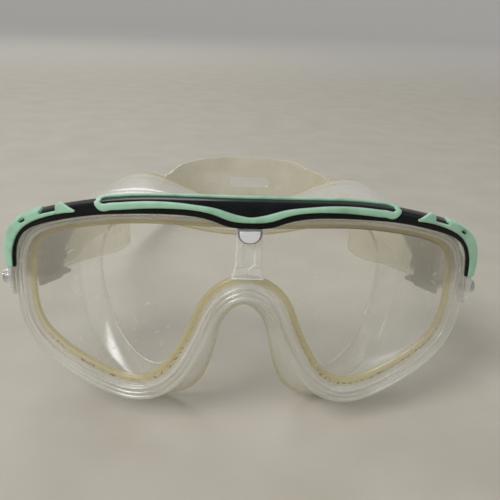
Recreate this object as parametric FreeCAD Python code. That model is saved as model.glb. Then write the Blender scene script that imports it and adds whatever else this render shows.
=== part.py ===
import FreeCAD, Part
import math
import os

# One-piece-lens swim goggles with an adjustable rear head strap.
# Millimetres, +Z up, the lens faces -Y, the strap runs back along +Y.
# The working frame has the lens' front face at y = lens_front on the middle plane;
# everything is moved by -row_mid_y at the end, so that the origin of the finished
# part lies on the floor under the middle of the whole outline.

V = FreeCAD.Vector

row_mid_y = 129.2        # middle of the part's depth in the working frame
lens_front = -4.0        # front face of the lens on the middle plane
wrap_r = 150.0           # radius of the lens' wrap around the face (vertical axis)
lens_t = 2.2             # lens thickness
lens_inset = 4.0         # lens edge inside the rim's outline
bead_front = 1.4         # how far the rim bead stands in front of the lens
bead_back = 5.0          # depth of the rim bead behind the lens' front face
bead_lip = 5.2           # width of the bead's front lip
bead_flange = 7.6        # width of the bead's flange behind the lens
skirt_t = 1.6            # skirt wall thickness
lip_t = 1.0              # thickness of the sealing lip
bar_front = 3.2          # front face of the top bar, in front of the lens' face
bar_back = 2.6           # depth of the bar's roof behind the lens' face
trim_t = 0.8             # the soft trims stand this far proud of the bar
post_front = 2.6         # front face of the bridge post
pivot = (22.6, 46.0)     # y and z of the strap's swing axis
pin_r = 1.25             # pivot pin radius
run_gap = 0.05           # radial running clearance on pins
buckle_at = (-79.8, 30.8)   # front corner of the left buckle's inner face
buckle_turn = 54.5       # degrees, the buckle runs back and inwards
buckle_z = 47.5          # height of the buckle's and the strap's middle
buckle_h = 21.0          # buckle height
buckle_l = 26.0          # buckle length
rail_l = 21.0            # length of the buckle's rails
rail_t = 1.8             # thickness of the buckle's rails
bar_at = (11.0, 3.1)     # the strap bar in the buckle's own frame
lever_at = (15.6, 7.6)   # the lever's pin in the buckle's own frame
lever_pin_r = 0.6        # lever pin radius
strap_w = 16.0           # strap width, standing on edge
strap_t = 1.8            # strap thickness
pad_t = 2.4              # thickness of the rear band

# Half outline of the rim in front view (x, z), from the top middle, round the
# outer corner and the cheek, to the middle of the nose arch.
rim_half = [(0, 82.0), (18, 82.0), (36, 81.2), (52, 78.2), (66, 73.6), (75, 67.4), (79.4, 58.5),
            (80.6, 46), (80.0, 35.5), (76.6, 26.8), (69.5, 20.0), (58, 14.2), (47, 10.6), (37, 9.6),
            (28.5, 12.2), (20.8, 19), (15.2, 28.5), (11, 38), (7.4, 46), (0, 50.4)]

# The sealing lip's outer edge (x, y, z) at the same stations.
lip_outer = [(0, 35, 72), (17, 36, 74.8), (36, 37.8, 81.4), (46.5, 39.8, 78), (52, 41.8, 69), (58.4, 43.8, 59.8),
             (62.7, 45, 51), (64, 45.2, 42), (63, 43.5, 31), (60, 39.5, 20), (53.5, 33, 10.5),
             (45, 26.5, 4.6), (36, 21.5, 1.5), (28, 18.5, 0.9), (20.5, 15.6, 4.0), (14.8, 13, 10.8),
             (11.3, 11.6, 19.5), (9.2, 11.2, 28.5), (6.4, 11.6, 37), (0, 12, 41.6)]

# The free inner edge of the sealing lip: the opening for the face.
lip_inner = [(0, 38.5, 57.8), (14, 39, 58.7), (28, 40.5, 61.2), (40, 43.3, 62.6), (48, 45.8, 60), (52.5, 47.3, 54),
             (54.5, 47.8, 47), (55, 47.6, 40), (54, 46, 32.5), (51, 42, 24.5), (46.5, 36, 17.5),
             (41, 30, 13), (35.5, 25.5, 11), (30, 22.8, 11.2), (24.5, 20.8, 14.5), (20, 19.6, 20.5),
             (16.8, 19.2, 27), (14, 19.6, 34.5), (10, 20.8, 42), (0, 23, 47.5)]


def wrap_y(x, back=0.0):
    """Depth of the lens-shaped surface that lies `back` behind the lens' front face."""
    radius = wrap_r - back
    return lens_front + wrap_r - math.sqrt(radius * radius - x * x)


def shell(front, back):
    """The curved slab between two depths behind the lens' front face."""
    axis = V(0, lens_front + wrap_r, -20)
    outer = Part.makeCylinder(wrap_r - front, 140, axis)
    inner = Part.makeCylinder(wrap_r - back, 140, axis)
    box = Part.makeBox(240, 100, 140, V(-120, lens_front - 20, -20))
    return outer.cut(inner).common(box)


def mirrored(half):
    """Full loop of points from a half outline that starts and ends on the middle plane."""
    return half + [(-p[0],) + tuple(p[1:]) for p in reversed(half[1:-1])]


def loop_curve(points):
    curve = Part.BSplineCurve()
    curve.interpolate(Points=points, PeriodicFlag=True)
    return curve


def open_curve(points):
    curve = Part.BSplineCurve()
    curve.interpolate(points)
    return curve.toShape()


def rim_points(inset, count=76):
    """Points on the rim's outline moved inwards by `inset`, in the x-z plane."""
    curve = loop_curve([V(x, 0, z) for x, z in mirrored(rim_half)])
    points = []
    for i in range(count):
        u = curve.FirstParameter + (curve.LastParameter - curve.FirstParameter) * i / count
        p = curve.value(u)
        t = curve.tangent(u)[0]
        points.append(V(p.x + t.z * inset, 0, p.z - t.x * inset))
    return points


def prism(edges, y_from=-40.0, y_to=110.0):
    """Front-view outline in the x-z plane pushed through the part along Y."""
    face = Part.Face(Part.Wire(Part.__sortEdges__(edges)))
    face.translate(V(0, y_from, 0))
    return face.extrude(V(0, y_to - y_from, 0))


def rim_prism(inset):
    return prism([loop_curve(rim_points(inset)).toShape()])


def tube_solid(loops):
    """Closed ring solid whose skin runs through the given closed loops and back to the first."""
    faces = []
    for a, b in zip(loops, loops[1:] + loops[:1]):
        faces += Part.makeRuledSurface(a, b).Faces
    sewn = Part.makeShell(faces)
    sewn.sewShape()
    solid = Part.Solid(Part.Shell(sewn.Faces))
    if solid.Volume < 0:
        solid.reverse()
    return solid


def lens():
    return rim_prism(lens_inset).common(shell(0, lens_t))


def rim_bead():
    """Soft bead that grips the lens' edge: a front lip and a wider flange behind."""
    whole = rim_prism(0)
    front = whole.cut(rim_prism(bead_lip)).common(shell(-bead_front, lens_t))
    rear = whole.cut(rim_prism(bead_flange)).common(shell(lens_t, bead_back))
    return front.fuse(rear).removeSplitter().cut(lens())


def lip_points(half, push=0.0):
    """Loop of points through the lip's stations, moved towards the wearer by `push`."""
    return [V(x, y + push, z) for x, y, z in mirrored(half)]


def station_loop(inset, back):
    """Rim outline, inset and set back, sampled at the lip's own stations."""
    curve = loop_curve([V(x, 0, z) for x, z in mirrored(rim_half)])
    loop = []
    for x, z in mirrored(rim_half):
        t = curve.tangent(curve.parameter(V(x, 0, z)))[0]
        px = x + t.z * inset
        loop.append(V(px, wrap_y(px, back), z - t.x * inset))
    return loop


def blend(a, b, k):
    return [p + (q - p) * k for p, q in zip(a, b)]


def closed_edge(points):
    return loop_curve(points).toShape()


def skirt_loops():
    """Outer and inner skin of the skirt wall: three loops each, bulging a little."""
    front_out = station_loop(0.5, bead_back)
    front_in = station_loop(0.5 + skirt_t, bead_back)
    back_out = lip_points(lip_outer)
    back_in = [p + (q - p) * 0.09 - V(0, 0.5, 0)
               for p, q in zip(back_out, lip_points(lip_inner))]
    mid_out = blend(front_out, back_out, 0.5)
    mid_in = blend(front_in, back_in, 0.5)
    return front_out, mid_out, back_out, back_in, mid_in, front_in


def skirt_wall():
    return tube_solid([closed_edge(points) for points in skirt_loops()])


def face_lip():
    """Thin feathered lip that turns inwards from the back edge of the wall."""
    outer = lip_points(lip_outer)
    inner = lip_points(lip_inner)
    middle = [p + V(0, 0.8, 0) for p in blend(outer, inner, 0.5)]
    front = [[p + V(0, 0.02, 0) for p in outer], middle, inner]
    back = [[p + V(0, lip_t, 0) for p in row] for row in front]
    loops = front + [back[2], back[1], back[0]]
    return tube_solid([closed_edge(points) for points in loops])


bar_top = [(0, 84.6), (20, 84.3), (38, 82.9), (50, 80.4), (60, 77.5), (68, 74.6), (75, 70.9),
           (79.4, 66.6), (81.5, 61.5), (82.0, 56.5), (81.6, 52.4)]
bar_low = [(78.6, 52.4), (78.2, 57), (77.4, 60.8), (75.6, 64.4), (72.4, 67.6), (66, 71), (57, 74.2),
           (48, 76.6), (38, 78.2), (25, 79.3), (17, 79.1), (11, 77.8), (6.6, 76.3), (3.4, 76.0), (0, 76.0)]


def both_sides(half):
    """Left-to-right run of front-view points from a half run that starts at the middle."""
    return [V(-x, 0, z) for x, z in reversed(half[1:])] + [V(x, 0, z) for x, z in half]


def bar_outline(grow=0.0):
    top = both_sides([(x, z) for x, z in bar_top])
    low = both_sides(list(reversed(bar_low)))
    if grow:
        top = moved_out(top, grow)
        low[0] = V(low[0].x, 0, low[0].z)
    a = open_curve(top)
    b = open_curve(low)
    ends = [Part.makeLine(top[0], low[0]), Part.makeLine(top[-1], low[-1])]
    return [a, b] + ends


def moved_out(points, grow):
    """Run of front-view points moved to its upper, outer side."""
    curve = open_curve(points).Curve
    result = []
    for p in points:
        t = curve.tangent(curve.parameter(p))[0]
        result.append(V(p.x - t.z * grow, 0, p.z + t.x * grow))
    return result


def top_bar():
    """Glossy bar: a face in front of the rim bead and a roof over it."""
    body = prism(bar_outline())
    face = body.common(shell(-bar_front, -bead_front - 0.02))
    roof = body.cut(rim_prism(-0.02)).common(shell(-bead_front - 0.02, bar_back))
    bar = face.fuse(roof).removeSplitter()
    solids = sorted(bar.Solids, key=lambda s: -s.Volume)
    return solids[0]


limb_top = [(0, 80.0), (3, 80.4), (6, 81.1), (10, 82.3), (16, 83.1), (24, 83.5), (34, 82.9), (42, 81.6), (46, 80.9)]
limb_low = [(0, 78.2), (3.5, 78.3), (6.5, 78.8), (9.5, 79.9), (14, 81.1), (22, 81.6), (32, 80.9), (42, 79.3), (46, 78.6)]


def centre_trim():
    """Closed loop of soft trim: a limb across the bar's face, a thin line along the
    back of its roof, and an end band on each side that joins them."""
    top = both_sides(limb_top)
    low = both_sides(limb_low)
    limb = [open_curve(top), open_curve(low), Part.makeLine(top[0], low[0]), Part.makeLine(top[-1], low[-1])]
    skin = shell(-bar_front - trim_t, -bar_front)
    parts = [prism(limb).common(skin)]
    grown = prism(bar_outline(trim_t))
    reach = Part.makeBox(95.2, 150, 30, V(-47.6, -40, 70))
    layer = grown.cut(prism(bar_outline())).common(reach)
    parts.append(layer.common(shell(0.9, 2.3)))
    for side in (-1, 1):
        end = Part.makeBox(2.4, 150, 30, V(45.2 if side > 0 else -47.6, -40, 78.6))
        parts.append(end.common(layer).common(shell(-bar_front - trim_t, 2.3)))
        parts.append(end.common(grown).common(skin))
    trim = parts[0]
    for piece in parts[1:]:
        trim = trim.fuse(piece)
    return trim.removeSplitter()


side_out = [(54.8, 77.6), (57.4, 78.6), (59.8, 79.6), (61.2, 78.4), (66, 76.6), (71.5, 73.9), (76.4, 70.3),
            (79.8, 65.4), (81.4, 60.6), (81.9, 56.4), (81.5, 52.5)]
side_in = [(54.8, 77.0), (60, 75.6), (66, 73.3), (71, 70.6), (75, 67.2), (77.8, 62.8), (79.2, 58), (79.5, 52.5)]


wrap_back = 1.0          # how far the corner trims reach back over the bar's crest


def side_trim(side):
    """Corner trim: arrow tip and hump, an open slot, a small oval hole, then a strip that wraps
    over the crest to the bar's end."""
    out = [V(x * side, 0, z) for x, z in side_out]
    low = [V(x * side, 0, z) for x, z in side_in]
    edges = [open_curve(out), open_curve(low), Part.makeLine(out[0], low[0]), Part.makeLine(out[-1], low[-1])]
    slab = prism(edges)
    slot = Part.makeBox(5.5, 60, 3.65, V(-3.1, -40, -0.65))
    slot = slot.fuse(Part.makeCylinder(0.65, 60, V(2.4, -40, 0), V(0, 1, 0)))
    slot.rotate(V(0, 0, 0), V(0, 1, 0), 20)
    slot.translate(V(64.6, 0, 75.8))
    hole = Part.makeBox(1.4, 60, 1.3, V(-0.7, -40, -0.65))
    for x in (-0.7, 0.7):
        hole = hole.fuse(Part.makeCylinder(0.65, 60, V(x, -40, 0), V(0, 1, 0)))
    hole = hole.removeSplitter()
    hole.rotate(V(0, 0, 0), V(0, 1, 0), 36)
    hole.translate(V(74.2, 0, 70.8))
    holes = slot.fuse(hole)
    if side < 0:
        holes = holes.mirror(V(0, 0, 0), V(1, 0, 0))
    skin = shell(-bar_front - trim_t, -bar_front)
    grown = prism(bar_outline(trim_t))
    inner = Part.makeBox(62.0, 150, 60, V(0 if side > 0 else -62.0, -40, 40))
    face = slab.common(skin)
    face = face.common(grown).fuse(face.common(inner))
    outer = Part.makeBox(30.0, 150, 40, V(62.4 if side > 0 else -92.4, -40, 52.5))
    wrap = grown.cut(prism(bar_outline())).common(outer).common(shell(-bar_front - trim_t, wrap_back))
    return face.fuse(wrap).cut(holes).removeSplitter()


def bridge_post():
    """Clear post between the two lobes, with a U groove that ends in a V notch."""
    outline = [V(-5.2, 0, 59.2), V(-4.2, 0, 64.2), V(-4.1, 0, 75.9), V(4.1, 0, 75.9), V(4.2, 0, 64.2), V(5.2, 0, 59.2)]
    edges = [Part.makeLine(a, b) for a, b in zip(outline, outline[1:] + outline[:1])]
    post = prism(edges).common(shell(-post_front, 0))
    notch = [V(-1.9, 0, 70.8), V(1.9, 0, 70.8), V(1.9, 0, 64.0), V(0, 0, 62.0), V(-1.9, 0, 64.0)]
    groove = prism([Part.makeLine(a, b) for a, b in zip(notch, notch[1:] + notch[:1])])
    return post.cut(groove.common(shell(-post_front - 1, -post_front + 1.1)))


def cap_outline(half_width, top, low):
    """Flat top, short straight sides and a rounded lower edge, as a closed run of edges."""
    drop = top - low
    side = [(half_width, top), (half_width, top - 0.32 * drop), (0.88 * half_width, top - 0.62 * drop),
            (0.55 * half_width, top - 0.9 * drop), (0, low)]
    points = [V(x, 0, z) for x, z in side] + [V(-x, 0, z) for x, z in reversed(side[:-1])]
    return [open_curve(points), Part.makeLine(points[-1], points[0])]


def centre_clip():
    """Dark clip that joins the bar's middle to the post."""
    return prism(cap_outline(3.85, 75.9, 71.3)).common(shell(-post_front - 0.8, -post_front))


def clip_disc():
    """Silver cap, flat side up."""
    return prism(cap_outline(3.2, 75.6, 71.8)).common(shell(-post_front - 1.5, -post_front - 0.8))


def right_of(shape):
    return shape.mirror(V(0, 0, 0), V(1, 0, 0))


def is_line(edge):
    return edge.Curve.TypeId == "Part::GeomLine"


def lug():
    """Left lug: a clear cheek plate on the rim's side with a boss for the pivot pin, its
    outer edges rounded."""
    plate = Part.makeBox(1.3, 9.0, 9.4, V(-82.1, 17.0, 43.0))
    foot = Part.makeCylinder(4.2, 1.3, V(-82.1, 22.6, 43.6), V(1, 0, 0))
    boss = Part.makeCylinder(2.4, 1.3, V(-82.1, pivot[0], pivot[1]), V(1, 0, 0))
    body = plate.fuse(foot).fuse(boss).removeSplitter()
    body = body.makeFillet(0.4, [e for e in body.Edges if abs(e.BoundBox.XMax + 82.1) < 1e-4])
    return body.cut(Part.makeCylinder(pin_r, 4, V(-84, pivot[0], pivot[1]), V(1, 0, 0)))


def hinge_pin():
    """Left pivot pin, pressed into the lug, with a domed outer head."""
    shaft = Part.makeCylinder(pin_r, 4.3, V(-85.1, pivot[0], pivot[1]), V(1, 0, 0))
    head = Part.makeCylinder(2.0, 0.6, V(-85.7, pivot[0], pivot[1]), V(1, 0, 0))
    head = head.common(Part.makeSphere(5.0, V(-80.7, pivot[0], pivot[1])))
    return shaft.fuse(head).removeSplitter()


def placed(shape):
    """Turn a piece from the left buckle's own frame into place: x runs back, y outwards."""
    shape.rotate(V(0, 0, 0), V(0, 0, 1), buckle_turn)
    shape.translate(V(buckle_at[0], buckle_at[1], buckle_z))
    return shape


def spot(u, w, side=-1):
    """Point (x, y) of the buckle's own frame, on the given side of the mask."""
    a = math.radians(buckle_turn)
    x = buckle_at[0] + u * math.cos(a) - w * math.sin(a)
    y = buckle_at[1] + u * math.sin(a) + w * math.cos(a)
    return (x if side < 0 else -x, y)


def buckle():
    """Left buckle: tapered nose, floor plate with a slanted rear edge and a small square
    lobe, two rails, and the bar that the strap folds round."""
    h = buckle_h / 2
    body = slab([(0, -2.6), (7.2, -h), (rail_l, -h), (rail_l, h), (7.2, h), (0, 2.6)], -1.6, 9.0)
    inner = h - rail_t
    room = slab([(2.6, -1.6), (7.9, -inner), (rail_l + 1, -inner), (rail_l + 1, inner), (7.9, inner), (2.6, 1.6)], 0, 10)
    floor = slab([(5, -h), (14.5, -h), (16, -9), (16, -3.4), (18.2, -3.4), (18.2, 0), (17, 0.6),
                  (buckle_l, h), (5, h)], -1.6, 0)
    under = slab([(12, -h), (rail_l + 1, -h), (rail_l + 1, h - rail_t), (12, h - rail_t)], -1.7, 0)
    body = body.cut(room).cut(under).fuse(floor)
    bar = Part.makeCylinder(0.8, buckle_h - 2, V(bar_at[0], bar_at[1], -h + 1))
    body = body.fuse(bar).removeSplitter()
    body = body.makeFillet(0.5, [e for e in body.Edges if is_line(e) and e.Length > 6])
    bore = Part.makeCylinder(lever_pin_r, buckle_h + 2, V(lever_at[0], lever_at[1], -h - 1))
    return placed(body.cut(bore))


def slab(outline, low, high):
    """Plate in the buckle's own frame: outline in (x, z), from y = low to y = high."""
    points = [V(u, low, z) for u, z in outline]
    return Part.Face(Part.makePolygon(points + points[:1])).extrude(V(0, high - low, 0))


def lever():
    """Left release lever: a thumb plate on a sleeve, with a tooth that grips the strap."""
    h = buckle_h / 2 - rail_t - 0.3
    sleeve = Part.makeCylinder(1.3, 2 * h, V(lever_at[0], lever_at[1], -h))
    pad = slab([(lever_at[0], -h), (lever_at[0] + 9, -h), (lever_at[0] + 9, h), (lever_at[0], h)],
               lever_at[1] - 0.1, lever_at[1] + 1.3)
    grip = slab([(lever_at[0] + 8, -h), (lever_at[0] + 9.2, -h), (lever_at[0] + 9.2, h), (lever_at[0] + 8, h)],
                lever_at[1] - 0.1, lever_at[1] + 2.2)
    grip = grip.makeFillet(0.35, [e for e in grip.Edges if e.BoundBox.YMax > lever_at[1] + 2.1])
    tooth = slab([(lever_at[0] + 1, -h), (lever_at[0] + 2.6, -h), (lever_at[0] + 2.6, h), (lever_at[0] + 1, h)],
                 lever_at[1] - 1.3, lever_at[1])
    body = sleeve.fuse(pad).fuse(grip).fuse(tooth).removeSplitter()
    bore = Part.makeCylinder(lever_pin_r + run_gap, 2 * h + 2, V(lever_at[0], lever_at[1], -h - 1))
    return placed(body.cut(bore))


def lever_pin():
    low = V(lever_at[0], lever_at[1], 0.1 - buckle_h / 2)
    return placed(Part.makeCylinder(lever_pin_r, buckle_h - 0.2, low))


def link():
    """Left link: the clear eye that swings on the pivot pin, and its arm to the buckle."""
    eye = Part.makeCylinder(2.4, 2.4, V(-84.9, pivot[0], pivot[1]), V(1, 0, 0))
    root = spot(0, 7.0)
    arm = [V(-84.9, 21.6, 0), V(-82.5, 21.6, 0), V(-82.5, 28.6, 0), V(*spot(0, 1.0), 0), V(*root, 0), V(-84.9, 30.0, 0)]
    plate = Part.Face(Part.makePolygon(arm + arm[:1])).extrude(V(0, 0, 4.6))
    plate.translate(V(0, 0, pivot[1] - 2.3))
    body = eye.fuse(plate).removeSplitter()
    return body.cut(Part.makeCylinder(pin_r + run_gap, 8, V(-88, pivot[0], pivot[1]), V(1, 0, 0)))


def band(path, sizes, steps=5):
    """Flat band standing on edge along (x, y, z) points: four edge curves, joined by ruled
    sides and closed by flat ends. sizes gives (thickness, width) at each point."""
    curve = Part.BSplineCurve()
    curve.interpolate([V(*p) for p in path])
    knots = curve.getKnots()
    places = [knots[0]]
    rails = [[], [], [], []]
    for k in range(len(knots) - 1):
        places += [knots[k] + (knots[k + 1] - knots[k]) * i / steps for i in range(1, steps + 1)]
    for i, u in enumerate(places):
        k = min(max(i - 1, 0) // steps, len(knots) - 2)
        share = (u - knots[k]) / (knots[k + 1] - knots[k])
        share = share * share * (3 - 2 * share)
        thick, width = [a + (b - a) * share for a, b in zip(sizes[k], sizes[k + 1])]
        p = curve.value(u)
        t = curve.tangent(u)[0]
        n = math.hypot(t.x, t.y)
        side = V(-t.y / n, t.x / n, 0) * (thick / 2)
        rise = V(0, 0, width / 2)
        for rail, corner in zip(rails, (p - side - rise, p + side - rise, p + side + rise, p - side + rise)):
            rail.append(corner)
    edges = []
    for rail in rails:
        edge = Part.BSplineCurve()
        edge.interpolate(Points=rail, Parameters=places)
        edges.append(edge)
    faces = []
    for low, high in zip(knots, knots[1:]):
        spans = [edge.toShape(low, high) for edge in edges]
        faces += [Part.makeRuledSurface(a, b, 1) for a, b in zip(spans, spans[1:] + spans[:1])]
    for end in (0, -1):
        corners = [rail[end] for rail in rails]
        faces.append(Part.Face(Part.makePolygon(corners + corners[:1])))
    sewn = Part.makeShell(faces)
    sewn.sewShape()
    body = Part.Solid(Part.Shell(sewn.Faces))
    if body.Volume < 0:
        body.reverse()
    return body


def strap_path(side):
    """Centre line: tail end, inner layer, fold round the buckle's bar, outer layer, run to the rear."""
    tail = [(46.0, 62.4), (51.5, 60.2), (58.0, 57.0)]
    if side < 0:
        tail = [(-x, y) for x, y in tail]
    z = buckle_z
    pts = [(x, y, z + 2.0 - 0.5 * i) for i, (x, y) in enumerate(tail)]
    turn = []
    for k in range(5):
        a = math.radians(-90 - 45 * k)
        turn.append((bar_at[0] + 1.95 * math.cos(a), bar_at[1] + 1.95 * math.sin(a)))
    for u, w in [(25.5, 1.15), (18, 1.15)] + turn + [(18, 5.05), (24.5, 5.05)]:
        pts.append(spot(u, w, side) + (z,))
    if side > 0:
        run = [(69.8, 68, 44.6), (76, 95, 38.5), (80.5, 135, 31), (80, 180, 23.5), (72.5, 222, 18)]
    else:
        run = [(-69.0, 68, 44.6), (-71.5, 95, 38.5), (-70, 135, 31), (-62, 180, 23.5), (-48, 222, 18)]
    return pts + run


def strap(side):
    path = strap_path(side)
    return band(path, [(strap_t, strap_w)] * len(path))


def rear_band():
    """Wide rear band that both straps run into, split by a long slot."""
    path = [(-48, 222, 18), (-43, 231.5, 17.4), (-33, 246, 17.6), (-17, 258.6, 18.2), (14, 265.2, 18.3),
            (43, 260, 17.8), (59, 248, 17.2), (72.5, 222, 18)]
    sizes = [(strap_t, strap_w), (strap_t, 26.5), (strap_t, 34.5), (pad_t, 36), (pad_t, 36.6), (pad_t, 35),
             (strap_t, 27), (strap_t, strap_w)]
    body = band(path, sizes)
    slot = Part.makeBox(30, 30, 7.0, V(-1.5, 250, 14.9))
    return body.cut(slot)


def build():
    parts = {
        "lens": lens(),
        "rim_bead": rim_bead(),
        "skirt_wall": skirt_wall(),
        "face_lip": face_lip(),
        "top_bar": top_bar(),
        "centre_trim": centre_trim(),
        "side_trim_left": side_trim(-1),
        "side_trim_right": side_trim(1),
        "bridge_post": bridge_post(),
        "centre_clip": centre_clip(),
        "clip_disc": clip_disc(),
        "strap_left": strap(-1),
        "strap_right": strap(1),
        "rear_band": rear_band(),
    }
    pairs = {
        "lug": lug(),
        "hinge_pin": hinge_pin(),
        "link": link(),
        "buckle": buckle(),
        "lever": lever(),
        "lever_pin": lever_pin(),
    }
    for name, left in pairs.items():
        parts[name + "_left"] = left
        parts[name + "_right"] = right_of(left)
    return parts


os.makedirs("parts", exist_ok=True)
for name, shape in build().items():
    shape.translate(V(0, -row_mid_y, 0))
    shape.exportStep("parts/" + name + ".step")
    box = shape.BoundBox
    print(name, len(shape.Solids), shape.isValid(), round(shape.Volume, 1),
          [round(v, 2) for v in (box.XMin, box.XMax, box.YMin, box.YMax, box.ZMin, box.ZMax)])
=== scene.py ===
import bmesh
import bpy
import numpy as np
from mathutils import Matrix, Vector


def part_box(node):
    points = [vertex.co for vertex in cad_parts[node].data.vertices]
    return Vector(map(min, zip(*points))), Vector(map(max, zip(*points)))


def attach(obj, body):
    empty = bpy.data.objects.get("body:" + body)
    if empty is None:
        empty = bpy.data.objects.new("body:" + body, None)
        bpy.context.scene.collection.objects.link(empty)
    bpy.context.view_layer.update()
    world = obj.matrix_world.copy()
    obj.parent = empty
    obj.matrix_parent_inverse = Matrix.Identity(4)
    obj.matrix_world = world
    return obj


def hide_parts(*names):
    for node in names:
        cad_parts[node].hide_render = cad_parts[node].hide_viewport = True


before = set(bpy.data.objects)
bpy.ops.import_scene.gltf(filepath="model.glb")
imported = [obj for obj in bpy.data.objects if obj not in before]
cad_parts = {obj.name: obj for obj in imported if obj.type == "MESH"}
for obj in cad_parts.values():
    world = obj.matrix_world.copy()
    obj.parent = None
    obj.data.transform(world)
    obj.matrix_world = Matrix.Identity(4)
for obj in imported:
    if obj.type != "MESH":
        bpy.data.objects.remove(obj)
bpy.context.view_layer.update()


# ---------------------------------------------------------------- camera
# Eye a little left of the middle and above the brow, looking slightly down.
lens_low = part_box("lens")[0]
eye = Vector((-0.0110, lens_low[1] - 0.1905, 0.1414))
yaw, pitch, roll = np.radians([3.42, 20.98, 2.61])
ahead = Vector((np.sin(yaw) * np.cos(pitch), np.cos(yaw) * np.cos(pitch), -np.sin(pitch)))
level = ahead.cross(Vector((0, 0, 1))).normalized()
above = level.cross(ahead)
right = level * np.cos(roll) + above * np.sin(roll)
up = above * np.cos(roll) - level * np.sin(roll)
camera = bpy.data.cameras.new("camera")
camera.sensor_width = 36.0
camera.angle = np.radians(42.0)
camera.clip_start = 0.01
camera_object = bpy.data.objects.new("camera", camera)
turn = Matrix((right, up, -ahead)).transposed().to_4x4()
camera_object.matrix_world = Matrix.Translation(eye) @ turn
bpy.context.scene.collection.objects.link(camera_object)
bpy.context.scene.camera = camera_object


# ---------------------------------------------------------------- lens
# One wraparound pane of clear polycarbonate, injection moulded and hard coated.
# Its edge sits in a groove of the soft rim. Age has given it a faint straw tint
# and a haze of fine scratches.
MM = 0.001
WRAP_RADIUS = 150.0
FRONT = -4.0
row_shift = lens_low[1] - FRONT * MM


def linear(colour):
    """An sRGB hex code as linear red, green, blue, alpha: a channel c becomes c / 12.92, or above
    0.04045 (c + 0.055) / 1.055 to the power 2.4. A plain number gives the grey of that value."""
    if not isinstance(colour, str):
        return (colour,) * 3 + (1.0,)
    value = np.array([int(colour[i:i + 2], 16) for i in (1, 3, 5)]) / 255.0
    value = np.where(value <= 0.04045, value / 12.92, ((value + 0.055) / 1.055) ** 2.4)
    return (*[float(v) for v in value], 1.0)


def add_node(material, kind, settings=None, links=None, stops=(), **properties):
    """Adds one shader node. `settings` are values on its inputs, `links` maps an input to a node
    or to (node, output), and `stops` are a colour ramp's (position, colour)."""
    node = material.node_tree.nodes.new("ShaderNode" + kind)
    for key, value in properties.items():
        setattr(node, key, value)
    for key, value in (settings or {}).items():
        node.inputs[key].default_value = linear(value) if isinstance(value, str) else value
    for key, link in (links or {}).items():
        source, output = link if isinstance(link, tuple) else (link, 0)
        material.node_tree.links.new(source.outputs[output], node.inputs[key])
    if stops:
        elements = node.color_ramp.elements
        while len(elements) < len(stops):
            elements.new(0.5)
        for element, (position, colour) in zip(elements, stops):
            element.position = position
            element.color = linear(colour)
    return node


def new_material(name):
    """An empty material and its texture coordinates."""
    material = bpy.data.materials.new(name)
    material.use_nodes = True
    material.node_tree.nodes.clear()
    return material, add_node(material, "TexCoord")


def finish_material(material, shader):
    """Links the shader to the material's output."""
    add_node(material, "OutputMaterial", None, {"Surface": shader})
    return material


def glazed(material, body, rough, least=0.045, most=0.55):
    """Lays a clear gloss over a see-through body: the share reflected grows with the fourth
    power of how edge-on the surface is, alike on outer and inner faces."""
    facing = add_node(material, "LayerWeight", {"Blend": 0.5})
    power = add_node(material, "Math", {1: 4.0}, {0: (facing, "Facing")}, operation="POWER")
    share = add_node(material, "MapRange", {"To Min": least, "To Max": most}, {"Value": power})
    gloss = add_node(material, "BsdfAnisotropic", {"Color": (1, 1, 1, 1)}, {"Roughness": rough})
    return add_node(material, "MixShader", None, {0: share, 1: body, 2: gloss})


def on_wrap(x, z, back=0.0):
    """Points at sideways distances x and heights z on the curved surface `back` mm behind the
    pane's front face. Depth follows a circle about a vertical axis: the front's depth plus the
    wrap radius, less the root of (radius - back) squared less x squared."""
    radius = WRAP_RADIUS - back
    y = FRONT + WRAP_RADIUS - np.sqrt(np.maximum(radius * radius - x * x, 1.0))
    return np.stack([x, y, z], -1)


def unit(vectors):
    """Each vector divided by its length."""
    return vectors / np.linalg.norm(vectors, axis=-1, keepdims=True)


def spline(points, closed=False):
    """Cubic spline through points, parametrised by chord length: the second derivatives
    solve the usual three-term equations, cyclic when closed and zero at free ends."""
    p = np.asarray(points, float)
    if closed:
        p = np.vstack([p, p[:1]])
    h = np.linalg.norm(np.diff(p, axis=0), axis=1)
    knots = np.concatenate([[0], np.cumsum(h)])
    n = len(p) - 1 if closed else len(p)
    matrix = np.zeros((n, n))
    bends = np.zeros((n, p.shape[1]))
    rows = np.arange(n) if closed else np.arange(1, n - 1)
    before, after = h[rows - 1], h[rows % len(h)]
    matrix[rows, rows - 1] = before
    matrix[rows, rows] = 2 * (before + after)
    matrix[rows, (rows + 1) % n] = after
    following = p[(rows + 1) % len(p)]
    previous = p[(rows - 1) % n]
    bends[rows] = 6 * ((following - p[rows]) / after[:, None] - (p[rows] - previous) / before[:, None])
    if not closed:
        matrix[0, 0] = matrix[-1, -1] = 1
    m = np.linalg.solve(matrix, bends)
    if closed:
        m = np.vstack([m, m[:1]])

    def at(share):
        """Point at a share of the length: the cubic between its two neighbouring knots."""
        u = np.asarray(share, float) * knots[-1]
        if closed:
            u = u % knots[-1]
        k = np.clip(np.searchsorted(knots, u, side="right") - 1, 0, len(h) - 1)
        w = h[k][:, None]
        a = (knots[k + 1] - u)[:, None]
        b = (u - knots[k])[:, None]
        return (m[k] * a ** 3 + m[k + 1] * b ** 3) / (6 * w) \
            + (p[k] / w - m[k] * w / 6) * a + (p[k + 1] / w - m[k + 1] * w / 6) * b

    at.shares = knots / knots[-1]
    return at


def mirrored(half):
    """Whole loop from half an outline that runs from the top middle to the nose arch."""
    return list(half) + [(-p[0],) + tuple(p[1:]) for p in reversed(half[1:-1])]


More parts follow.
